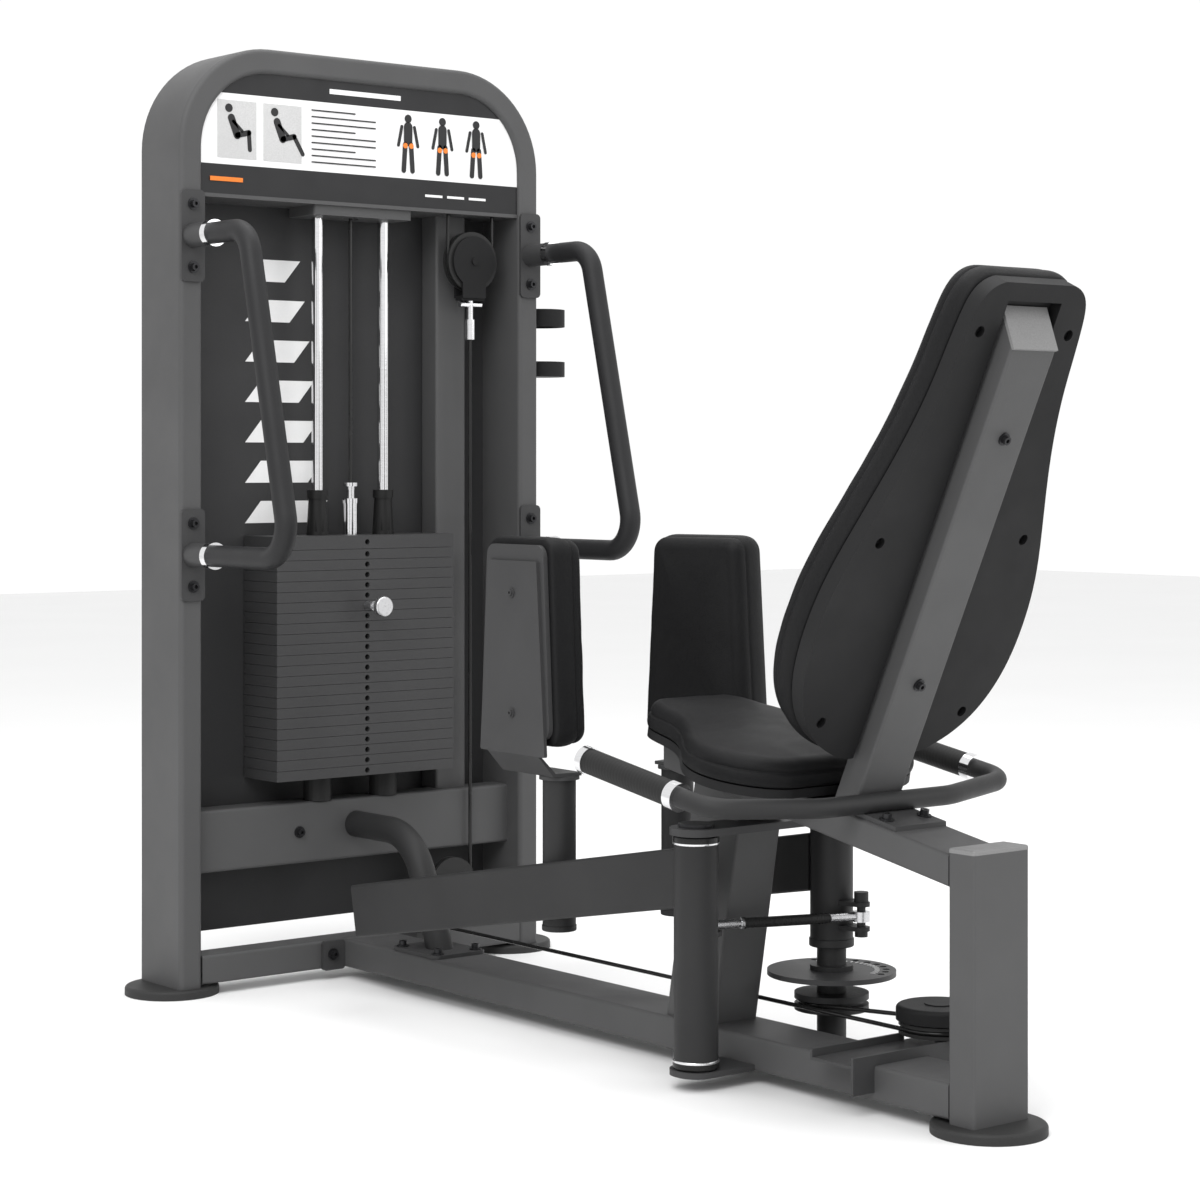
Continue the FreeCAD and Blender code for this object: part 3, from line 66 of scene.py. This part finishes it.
# Camera
CAMERA_PLACE = (-2.5408, -2.3792, 0.8336)
CAMERA_TURN = 38.85
CAMERA_LENS = 82.68
CAMERA_SHIFT_Y = -0.1118


def shader_nodes(name):
    """A new material with its node tree, principled shader and object coordinates."""
    material = bpy.data.materials.new(name)
    material.use_nodes = True
    tree = material.node_tree
    shader = tree.nodes["Principled BSDF"]
    shader.inputs["Specular IOR Level"].default_value = 0.22
    coords = tree.nodes.new("ShaderNodeTexCoord")
    return material, tree, shader, coords.outputs["Object"]


def noise_texture(tree, coords, scale, detail=4.0, roughness=0.6):
    """Noise from 0 to 1, at a scale in cells per metre."""
    texture = tree.nodes.new("ShaderNodeTexNoise")
    texture.inputs["Scale"].default_value = scale
    texture.inputs["Detail"].default_value = detail
    texture.inputs["Roughness"].default_value = roughness
    tree.links.new(coords, texture.inputs["Vector"])
    return texture.outputs["Fac"]


def ranged(tree, value, low, high, start=0.3, end=0.7):
    """The value, spread from [start, end] to [low, high]."""
    span = tree.nodes.new("ShaderNodeMapRange")
    span.inputs["From Min"].default_value = start
    span.inputs["From Max"].default_value = end
    span.inputs["To Min"].default_value = low
    span.inputs["To Max"].default_value = high
    tree.links.new(value, span.inputs["Value"])
    return span.outputs["Result"]


def blended(tree, factor, first, second):
    """Mixes two colours, given as tuples or sockets, by a factor socket."""
    mix = tree.nodes.new("ShaderNodeMix")
    mix.data_type = "RGBA"
    tree.links.new(factor, mix.inputs["Factor"])
    for socket, colour in ((mix.inputs[6], first), (mix.inputs[7], second)):
        if isinstance(colour, tuple):
            socket.default_value = (*colour, 1.0)
        else:
            tree.links.new(colour, socket)
    return mix.outputs[2]


def shade(colour, factor):
    """The colour, lighter or darker."""
    return tuple(min(1.0, c * factor) for c in colour)


def add_bump(tree, shader, height, strength, distance):
    """Joins a height to the shader as fine relief."""
    bump = tree.nodes.new("ShaderNodeBump")
    bump.inputs["Strength"].default_value = strength
    bump.inputs["Distance"].default_value = distance
    tree.links.new(height, bump.inputs["Height"])
    tree.links.new(bump.outputs["Normal"], shader.inputs["Normal"])


def plain_finish(name, colour, roughness, metallic=0.0, grain=900.0, bump=0.25, depth=0.0003,
                 spread=0.12, coat=0.0):
    """Coated, moulded or plated surface: fine grain and broad smudges in the gloss."""
    material, tree, shader, coords = shader_nodes(name)
    fine = noise_texture(tree, coords, grain, 2.0)
    broad = noise_texture(tree, coords, 7.0, 6.0)
    tint = blended(tree, ranged(tree, fine, 0.0, 1.0), shade(colour, 1 - spread), shade(colour, 1 + spread))
    cloudy = blended(tree, ranged(tree, broad, 0.0, 0.35), tint, shade(colour, 0.8))
    tree.links.new(cloudy, shader.inputs["Base Color"])
    tree.links.new(ranged(tree, broad, roughness - 0.06, roughness + 0.08), shader.inputs["Roughness"])
    shader.inputs["Metallic"].default_value = metallic
    shader.inputs["Coat Weight"].default_value = coat
    add_bump(tree, shader, fine, bump, depth)
    return material


def vinyl_finish():
    """Upholstery vinyl: pebbled cells with fine creases."""
    material, tree, shader, coords = shader_nodes("vinyl")
    cells = tree.nodes.new("ShaderNodeTexVoronoi")
    cells.feature = "DISTANCE_TO_EDGE"
    cells.inputs["Scale"].default_value = 620.0
    warp = noise_texture(tree, coords, 60.0, 3.0)
    tree.links.new(coords, cells.inputs["Vector"])
    pebble = ranged(tree, cells.outputs["Distance"], 0.0, 1.0, 0.0, 0.22)
    total = tree.nodes.new("ShaderNodeMath")
    total.operation = "ADD"
    tree.links.new(pebble, total.inputs[0])
    tree.links.new(ranged(tree, warp, 0.0, 0.8), total.inputs[1])
    colour = blended(tree, pebble, (0.004, 0.004, 0.0045), (0.01, 0.01, 0.0105))
    tree.links.new(colour, shader.inputs["Base Color"])
    broad = noise_texture(tree, coords, 9.0, 5.0)
    tree.links.new(ranged(tree, broad, 0.46, 0.6), shader.inputs["Roughness"])
    shader.inputs["Specular IOR Level"].default_value = 0.14
    add_bump(tree, shader, total.outputs[0], 0.35, 0.0004)
    return material


def ribbed_finish(name, colour, axis, period):
    """Rubber sleeve with fine ribs along one axis."""
    material, tree, shader, coords = shader_nodes(name)
    wave = tree.nodes.new("ShaderNodeTexWave")
    wave.bands_direction = axis
    wave.inputs["Scale"].default_value = 0.314 / period
    wave.inputs["Distortion"].default_value = 0.4
    tree.links.new(coords, wave.inputs["Vector"])
    fine = noise_texture(tree, coords, 700.0, 2.0)
    tint = blended(tree, ranged(tree, fine, 0.0, 1.0), shade(colour, 0.8), shade(colour, 1.25))
    tree.links.new(tint, shader.inputs["Base Color"])
    tree.links.new(ranged(tree, fine, 0.5, 0.68), shader.inputs["Roughness"])
    add_bump(tree, shader, wave.outputs["Fac"], 0.3, 0.0005)
    return material


def brushed_finish(name, colour, roughness, stretch=(1.0, 1.0, 40.0)):
    """Bright metal with fine lines round it."""
    material, tree, shader, coords = shader_nodes(name)
    mapping = tree.nodes.new("ShaderNodeMapping")
    mapping.inputs["Scale"].default_value = stretch
    tree.links.new(coords, mapping.inputs["Vector"])
    lines = noise_texture(tree, mapping.outputs["Vector"], 60.0, 3.0)
    tint = blended(tree, ranged(tree, lines, 0.0, 1.0), shade(colour, 0.85), colour)
    tree.links.new(tint, shader.inputs["Base Color"])
    tree.links.new(ranged(tree, lines, roughness * 0.7, roughness * 1.4), shader.inputs["Roughness"])
    shader.inputs["Metallic"].default_value = 1.0
    add_bump(tree, shader, lines, 0.05, 0.0001)
    return material


def link_finish():
    """Black link rod between bright ball ends."""
    material, tree, shader, coords = shader_nodes("link_steel")
    low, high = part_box("link")
    split = tree.nodes.new("ShaderNodeSeparateXYZ")
    tree.links.new(coords, split.inputs[0])
    left_end = low.x + LINK_LEFT_END
    right_end = high.x - LINK_RIGHT_END
    left = ranged(tree, split.outputs["X"], 1.0, 0.0, left_end, left_end + EDGE)
    right = ranged(tree, split.outputs["X"], 0.0, 1.0, right_end - EDGE, right_end)
    ends = tree.nodes.new("ShaderNodeMath")
    ends.operation = "ADD"
    tree.links.new(left, ends.inputs[0])
    tree.links.new(right, ends.inputs[1])
    fine = noise_texture(tree, coords, 500.0, 2.0)
    bright = blended(tree, ranged(tree, fine, 0.0, 1.0), (0.5, 0.5, 0.51), (0.62, 0.62, 0.63))
    colour = blended(tree, ends.outputs[0], (0.015, 0.015, 0.015), bright)
    tree.links.new(colour, shader.inputs["Base Color"])
    tree.links.new(ends.outputs[0], shader.inputs["Metallic"])
    tree.links.new(ranged(tree, fine, 0.22, 0.34), shader.inputs["Roughness"])
    add_bump(tree, shader, fine, 0.1, 0.0002)
    return material


def pivot_cap_finish():
    """Black caps on a pivot, each with a bright ring against the tube."""
    material, tree, shader, coords = shader_nodes("pivot_cap")
    low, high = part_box("left_pivot")
    split = tree.nodes.new("ShaderNodeSeparateXYZ")
    tree.links.new(coords, split.inputs[0])
    ring_top = high.z + RING_HEIGHT
    ring_low = low.z - RING_HEIGHT
    above = ranged(tree, split.outputs["Z"], 0.0, 1.0, ring_top, ring_top + EDGE)
    below = ranged(tree, split.outputs["Z"], 1.0, 0.0, ring_low - EDGE, ring_low)
    black = tree.nodes.new("ShaderNodeMath")
    black.operation = "ADD"
    tree.links.new(above, black.inputs[0])
    tree.links.new(below, black.inputs[1])
    fine = noise_texture(tree, coords, 900.0, 2.0)
    ring = blended(tree, ranged(tree, fine, 0.0, 1.0), (0.7, 0.7, 0.71), (0.85, 0.85, 0.86))
    colour = blended(tree, black.outputs[0], ring, (0.012, 0.012, 0.012))
    tree.links.new(colour, shader.inputs["Base Color"])
    tree.links.new(ranged(tree, black.outputs[0], 1.0, 0.0, 0.0, 1.0), shader.inputs["Metallic"])
    tree.links.new(ranged(tree, fine, 0.2, 0.34), shader.inputs["Roughness"])
    add_bump(tree, shader, fine, 0.15, 0.0002)
    return material


def placard_finish():
    """Printed board: a white band between two black ones, under a clear film."""
    material, tree, shader, coords = shader_nodes("placard_print")
    split = tree.nodes.new("ShaderNodeSeparateXYZ")
    tree.links.new(coords, split.inputs[0])
    above = ranged(tree, split.outputs["Z"], 0.0, 1.0, WHITE_BAND_LOW, WHITE_BAND_LOW + EDGE)
    below = ranged(tree, split.outputs["Z"], 1.0, 0.0, WHITE_BAND_TOP, WHITE_BAND_TOP + EDGE)
    band = tree.nodes.new("ShaderNodeMath")
    band.operation = "MULTIPLY"
    tree.links.new(above, band.inputs[0])
    tree.links.new(below, band.inputs[1])
    colour = blended(tree, band.outputs[0], (0.015, 0.015, 0.016), (0.78, 0.78, 0.78))
    tree.links.new(colour, shader.inputs["Base Color"])
    film = noise_texture(tree, coords, 14.0, 3.0)
    tree.links.new(ranged(tree, film, 0.28, 0.4), shader.inputs["Roughness"])
    add_bump(tree, shader, noise_texture(tree, coords, 350.0, 2.0), 0.04, 0.0002)
    return material


FINISHES = {
    "frame_coat": plain_finish(
        "frame_coat", (0.075, 0.075, 0.076), 0.5, grain=1500.0, bump=0.5),
    "arm_coat": plain_finish(
        "arm_coat", (0.024, 0.024, 0.0245), 0.5, grain=1500.0, bump=0.5),
    "plate_coat": plain_finish(
        "plate_coat", (0.045, 0.045, 0.046), 0.48, grain=1500.0, bump=0.4),
    "panel_coat": plain_finish("panel_coat", (0.034, 0.034, 0.035), 0.55, grain=1200.0, bump=0.3),
    "placard_print": placard_finish(),
    "pale_cap": plain_finish("pale_cap", (0.2, 0.2, 0.2), 0.5, grain=600.0, bump=0.3),
    "shell_plastic": plain_finish(
        "shell_plastic", (0.009, 0.009, 0.0095), 0.6, grain=1100.0, bump=0.5, spread=0.2),
    "vinyl": vinyl_finish(),
    "chrome": brushed_finish("chrome", (0.82, 0.82, 0.83), 0.09),
    "fastener_steel": plain_finish(
        "fastener_steel", (0.03, 0.03, 0.032), 0.3, metallic=0.6, grain=900.0),
    "link_steel": link_finish(),
    "weight_coat": plain_finish(
        "weight_coat", (0.045, 0.045, 0.046), 0.45, grain=800.0, bump=0.35),
    "bush_plastic": plain_finish("bush_plastic", (0.01, 0.01, 0.01), 0.4, grain=900.0),
    "wheel_plastic": plain_finish("wheel_plastic", (0.02, 0.02, 0.02), 0.4, grain=900.0),
    "cable_sheath": plain_finish("cable_sheath", (0.012, 0.012, 0.012), 0.25, grain=500.0, coat=0.3),
    "grip_rubber": ribbed_finish("grip_rubber", (0.014, 0.014, 0.014), "Y", 0.006),
    "handle_sleeve": plain_finish(
        "handle_sleeve", (0.018, 0.018, 0.019), 0.5, grain=700.0, bump=0.6, depth=0.0005),
    "foot_rubber": plain_finish("foot_rubber", (0.03, 0.03, 0.03), 0.55, grain=500.0, bump=0.5),
    "pivot_cap": pivot_cap_finish(),
    "knob_steel": brushed_finish("knob_steel", (0.62, 0.62, 0.63), 0.35, (6.0, 6.0, 6.0)),
}
INKS = {
    "ink_white": plain_finish("ink_white", (0.8, 0.8, 0.8), 0.4, grain=900.0, bump=0.1, spread=0.03),
    "ink_dark": plain_finish("ink_dark", (0.02, 0.02, 0.021), 0.4, grain=900.0, bump=0.1),
    "ink_grey": plain_finish("ink_grey", (0.5, 0.5, 0.5), 0.4, grain=900.0, bump=0.1),
    "ink_orange": plain_finish("ink_orange", (0.75, 0.2, 0.03), 0.4, grain=900.0, bump=0.1),
}


def dress_cad_nodes():
    """Gives every CAD node the finish of its material slot."""
    own_finish = {"selector_pin": "knob_steel", "left_pivot_bushes": "pivot_cap"}
    for subpart in frame["record"]["subparts"]:
        node = frame["nodes"][subpart["node"]]
        node.data.materials.clear()
        node.data.materials.append(FINISHES[own_finish.get(subpart["node"], subpart["material_slot"])])


def body_of_node(node):
    """The name of the body that a node belongs to."""
    for body, members in frame["record"]["behaviour"]["bodies"].items():
        if node in members:
            return body
    return None


def linked_mesh(name, vertices, faces, material):
    """A new object with one material, in the scene."""
    mesh = bpy.data.meshes.new(name)
    mesh.from_pydata(vertices, [], faces)
    mesh.validate()
    mesh.materials.append(material)
    piece = bpy.data.objects.new(name, mesh)
    bpy.context.scene.collection.objects.link(piece)
    return piece


def face_outline(node, outward):
    """The outline of a cushion's outer face, its normal there, and the cushion's thickness."""
    mesh = node.data
    areas = {}
    for polygon in mesh.polygons:
        if polygon.normal.dot(outward) > 0.8:
            key = tuple(round(c, 2) for c in polygon.normal)
            areas[key] = areas.get(key, 0.0) + polygon.area
    facing = max(areas, key=areas.get)
    normals = [p.normal * p.area for p in mesh.polygons if tuple(round(c, 2) for c in p.normal) == facing]
    normal = sum(normals, Vector()).normalized()
    heights = [v.co.dot(normal) for v in mesh.vertices]
    top = max(heights)
    rim = [v.co.copy() for v, height in zip(mesh.vertices, heights) if top - height < 0.0003]
    return rim, normal, top - min(heights)


def even_loop(rim, centre, across, along):
    """The rim's points in order round the centre, respaced evenly."""
    def turn(p):
        return math.atan2((p - centre).dot(along), (p - centre).dot(across))

    ordered = sorted(rim, key=turn)
    clean = [ordered[0]]
    for point in ordered[1:]:
        if (point - clean[-1]).length > 0.0008:
            clean.append(point)
    loop = clean + clean[:1]
    lengths = [(b - a).length for a, b in zip(loop, loop[1:])]
    step = sum(lengths) / OUTLINE_POINTS
    points = []
    index, passed = 0, 0.0
    for k in range(OUTLINE_POINTS):
        while k * step - passed > lengths[index]:
            passed += lengths[index]
            index += 1
        points.append(loop[index].lerp(loop[index + 1], (k * step - passed) / lengths[index]))
    return points


def cushion(node_name, outward, crown, edge, bulge):
    """Crowned cushion on a CAD pad's outline: bulging side panel, seam, rounded edge and domed face."""
    node = frame["nodes"][node_name]
    rim, normal, thick = face_outline(node, Vector(outward))
    centre = sum(rim, Vector()) / len(rim)
    across = normal.orthogonal().normalized()
    along = normal.cross(across)
    loop = even_loop(rim, centre, across, along)
    centre = sum(loop, Vector()) / len(loop)
    count = len(loop)
    inward = []
    for k in range(count):
        tangent = (loop[(k + 2) % count] - loop[k - 2]).normalized()
        side = normal.cross(tangent)
        inward.append(side if side.dot(centre - loop[k]) > 0 else -side)

    wall = thick - edge
    profile = [(0.004, 0.0), (0.001, 0.002)]
    for k in range(1, 9):
        part = k / 9
        profile.append((-bulge * math.sin(math.pi * part), wall * part))
    seam = ((0.0002, -0.0022), (0.0016, -0.0006), (0.0016, 0.0006), (0.0002, 0.0022))
    profile += [(inset, wall + height) for inset, height in seam]
    for k in range(1, 9):
        turn = math.radians(12 + 78 * k / 8)
        profile.append((edge * (1 - math.cos(turn)), wall + edge * math.sin(turn)))

    rings = []
    for inset, height in profile:
        drop = height - thick
        rings.append([p + side * inset + normal * drop for p, side in zip(loop, inward)])
    last = rings[-1]
    middle = sum(last, Vector()) / count
    for k in range(1, CROWN_RINGS):
        part = k / CROWN_RINGS
        rise = crown * (1 - (1 - part) ** 2.4)
        rings.append([p.lerp(middle, part) + normal * rise for p in last])

    vertices = [p for ring in rings for p in ring]
    soft = []
    for p in vertices:
        depth = (p - centre).dot(normal)
        sway = noise.noise(p * 22.0) * 0.0011 + noise.noise(p * 55.0) * 0.0004
        soft.append(p + normal * (sway if depth > -thick * 0.8 else 0.0))
    faces = []
    for r in range(len(rings) - 1):
        for k in range(count):
            a, b = r * count + k, r * count + (k + 1) % count
            faces.append((a, b, b + count, a + count))
    soft.append(middle + normal * crown)
    tip = len(soft) - 1
    inner = (len(rings) - 1) * count
    faces += [(inner + k, inner + (k + 1) % count, tip) for k in range(count)]
    soft.append(centre - normal * thick)
    base = len(soft) - 1
    faces += [((k + 1) % count, k, base) for k in range(count)]
    piece = linked_mesh(node_name + "_cushion", soft, faces, FINISHES["vinyl"])
    outward_face = piece.data.polygons[(len(rings) - 2) * count].normal
    if outward_face.dot(normal) < 0:
        piece.data.flip_normals()
    piece.data.shade_smooth()
    smooth = piece.modifiers.new("smooth", "SUBSURF")
    smooth.levels = 1
    smooth.render_levels = 1
    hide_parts(node_name)
    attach(piece, body_of_node(node_name))
    return piece


def build_cushions():
    """The seat, the backrest and the two thigh pads."""
    cushion("seat_pad", (0.0, -0.18, 0.98), 0.011, 0.018, 0.003)
    cushion("back_pad", (0.0, 0.9, 0.43), 0.012, 0.02, 0.004)
    cushion("left_thigh_pad", (0.99, -0.1, 0.0), 0.008, 0.02, 0.003)
    cushion("right_thigh_pad", (-0.99, -0.1, 0.0), 0.008, 0.02, 0.003)


def bar(x0, x1, z0, z1):
    """Upright rectangle."""
    return [(x0, z0), (x1, z0), (x1, z1), (x0, z1)]


def dot(x, z, radius, sides=28):
    """Round spot."""
    turns = [2 * math.pi * k / sides for k in range(sides)]
    return [(x + radius * math.cos(t), z + radius * math.sin(t)) for t in turns]


def limb(x0, z0, x1, z1, radius, sides=10):
    """Rounded stroke from one point to another."""
    heading = math.atan2(z1 - z0, x1 - x0)
    points = []
    for x, z, start in ((x1, z1, heading - math.pi / 2), (x0, z0, heading + math.pi / 2)):
        for k in range(sides + 1):
            turn = start + math.pi * k / sides
            points.append((x + radius * math.cos(turn), z + radius * math.sin(turn)))
    return points


def prints(name, outlines, front, ink):
    """Thin flat print: each outline is a convex shape in the XZ plane, standing on a face at y = front."""
    vertices = []
    faces = []
    for outline in outlines:
        start = len(vertices)
        count = len(outline)
        vertices += [(x, front - PRINT_THICK, z) for x, z in outline]
        vertices += [(x, front, z) for x, z in outline]
        faces.append([start + k for k in range(count)])
        faces.append([start + count + k for k in reversed(range(count))])
        for k in range(count):
            ahead = (k + 1) % count
            faces.append((start + k, start + count + k, start + count + ahead, start + ahead))
    piece = linked_mesh(name, vertices, faces, INKS[ink])
    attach(piece, "frame")
    return piece


def standing_figure(x, z, size):
    """Front view of a person: head, trunk, arms and legs."""
    return [
        dot(x, z + 0.44 * size, 0.07 * size),
        limb(x, z + 0.3 * size, x, z + 0.06 * size, 0.085 * size),
        limb(x - 0.13 * size, z + 0.3 * size, x - 0.2 * size, z - 0.02 * size, 0.028 * size),
        limb(x + 0.13 * size, z + 0.3 * size, x + 0.2 * size, z - 0.02 * size, 0.028 * size),
        limb(x - 0.06 * size, z, x - 0.09 * size, z - 0.44 * size, 0.045 * size),
        limb(x + 0.06 * size, z, x + 0.09 * size, z - 0.44 * size, 0.045 * size),
    ]


def seated_figure(x, z, size, spread):
    """Side view of a person on a reclined seat, with the lower leg at an angle."""
    return [
        dot(x - 0.17 * size, z + 0.37 * size, 0.075 * size),
        limb(x - 0.12 * size, z + 0.2 * size, x, z - 0.1 * size, 0.07 * size),
        limb(x, z - 0.1 * size, x + 0.24 * size, z - 0.04 * size, 0.05 * size),
        limb(x + 0.24 * size, z - 0.04 * size, x + spread * size, z - 0.34 * size, 0.04 * size),
        limb(x - 0.08 * size, z + 0.14 * size, x + 0.1 * size, z - 0.02 * size, 0.03 * size),
    ]


def build_placard():
    """Two seated figures, three standing figures, rows of bars and small marks."""
    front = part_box("placard_board")[0].y
    middle = (WHITE_BAND_LOW + WHITE_BAND_TOP) / 2
    dark = []
    grey = []
    for x, spread in ((-0.245, 0.26), (-0.16, 0.42)):
        grey.append(bar(x - 0.036, x + 0.036, middle - 0.046, middle + 0.046))
        dark += seated_figure(x, middle, 0.09, spread)
    rows = 9
    for k in range(rows):
        z = WHITE_BAND_TOP - 0.013 - k * 0.0105
        length = 0.125 if k % 3 else 0.085
        dark.append(bar(-0.105, -0.105 + length, z - 0.0022, z))
    orange = [bar(-0.295, -0.235, 1.284, 1.291)]
    for k, x in enumerate((0.085, 0.155, 0.225)):
        dark += standing_figure(x, middle, 0.098)
        for side in (-1, 1):
            orange.append(dot(x + side * 0.006, middle - 0.002 - 0.003 * k, 0.0045))
    white = [bar(0.12 + 0.045 * k, 0.155 + 0.045 * k, 1.283, 1.287) for k in range(3)]
    white += [bar(-0.07, 0.07, 1.439, 1.447)]
    prints("placard_fields", grey, front, "ink_grey")
    prints("placard_figures", dark, front - PRINT_THICK, "ink_dark")
    prints("placard_accents", orange, front - 2 * PRINT_THICK, "ink_orange")
    prints("placard_lines", white, front, "ink_white")


def build_panel_pattern():
    """Slanted bars of growing length on the sheet behind the weights."""
    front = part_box("rear_panel")[0].y
    bars = []
    start = -0.17
    lean = 0.03
    for k in range(7):
        z = 0.74 + 0.066 * k
        reach = 0.13 - 0.009 * k
        end = start + reach
        bars.append([(start, z), (end, z), (end + lean, z + 0.036), (start + lean, z + 0.036)])
    prints("panel_pattern", bars, front, "ink_white")


def build_disc_marks():
    """Pale tick marks round the range disc."""
    low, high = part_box("number_disc")
    centre = (low + high) / 2
    vertices = []
    faces = []
    for k in range(19):
        turn = math.radians(-70 + 7.5 * k)
        out = Vector((math.cos(turn), math.sin(turn), 0.0))
        side = Vector((-out.y, out.x, 0.0)) * 0.0008
        start = len(vertices)
        for reach in (0.06, 0.067):
            for way in (-1, 1):
                at = centre + out * reach + side * way
                vertices.append((at.x, at.y, high.z))
                vertices.append((at.x, at.y, high.z + 0.0005))
        faces += [
            (start + 1, start + 5, start + 7, start + 3), (start, start + 2, start + 6, start + 4),
            (start, start + 4, start + 5, start + 1), (start + 2, start + 3, start + 7, start + 6),
            (start, start + 1, start + 3, start + 2), (start + 4, start + 6, start + 7, start + 5),
        ]
    piece = linked_mesh("disc_marks", vertices, faces, INKS["ink_white"])
    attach(piece, body_of_node("number_disc"))


def build_stage():
    """Plain pale floor."""
    mesh = bpy.data.meshes.new("floor")
    reach = FLOOR_REACH
    corners = [(-reach, -reach, 0), (reach, -reach, 0), (reach, reach, 0), (-reach, reach, 0)]
    mesh.from_pydata(corners, [], [(0, 1, 2, 3)])
    floor = bpy.data.objects.new("floor", mesh)
    bpy.context.scene.collection.objects.link(floor)
    material, tree, shader, coords = shader_nodes("floor")
    patch = noise_texture(tree, coords, 1.2, 3.0)
    colour = blended(tree, patch, (0.84, 0.84, 0.84), (0.87, 0.87, 0.87))
    tree.links.new(colour, shader.inputs["Base Color"])
    shader.inputs["Roughness"].default_value = 0.7
    floor.data.materials.append(material)


def area_light(name, place, target, size, power):
    """Rectangular lamp aimed at a point."""
    light = bpy.data.lights.new(name, "AREA")
    light.shape = "RECTANGLE"
    light.size, light.size_y = size
    light.energy = power
    lamp = bpy.data.objects.new(name, light)
    lamp.location = place
    lamp.rotation_euler = (Vector(target) - Vector(place)).to_track_quat("-Z", "Y").to_euler()
    bpy.context.scene.collection.objects.link(lamp)


def build_lights():
    """White surroundings, three soft lamps and plain colour."""
    bpy.context.scene.view_settings.view_transform = "Standard"
    world = bpy.data.worlds.new("studio")
    bpy.context.scene.world = world
    world.use_nodes = True
    background = world.node_tree.nodes["Background"]
    background.inputs["Color"].default_value = (1.0, 1.0, 1.0, 1.0)
    background.inputs["Strength"].default_value = 1.02
    area_light("key", (-3.2, -1.4, 3.6), (0.0, 0.8, 0.6), (2.6, 2.6), 120.0)
    area_light("fill", (2.6, -2.8, 2.2), (0.0, 0.6, 0.6), (2.4, 2.0), 25.0)
    area_light("overhead", (0.2, 0.9, 4.2), (0.0, 0.8, 0.0), (3.4, 3.4), 90.0)


def build_camera():
    """Level camera, raised by its shift."""
    data = bpy.data.cameras.new("camera")
    data.lens = CAMERA_LENS
    data.sensor_width = 36.0
    data.shift_y = CAMERA_SHIFT_Y
    data.clip_end = 60.0
    camera = bpy.data.objects.new("camera", data)
    camera.location = CAMERA_PLACE
    camera.rotation_euler = (math.radians(90), 0.0, math.radians(-CAMERA_TURN))
    bpy.context.scene.collection.objects.link(camera)
    bpy.context.scene.camera = camera


dress_cad_nodes()
build_cushions()
build_placard()
build_panel_pattern()
build_disc_marks()
build_stage()
build_lights()
build_camera()
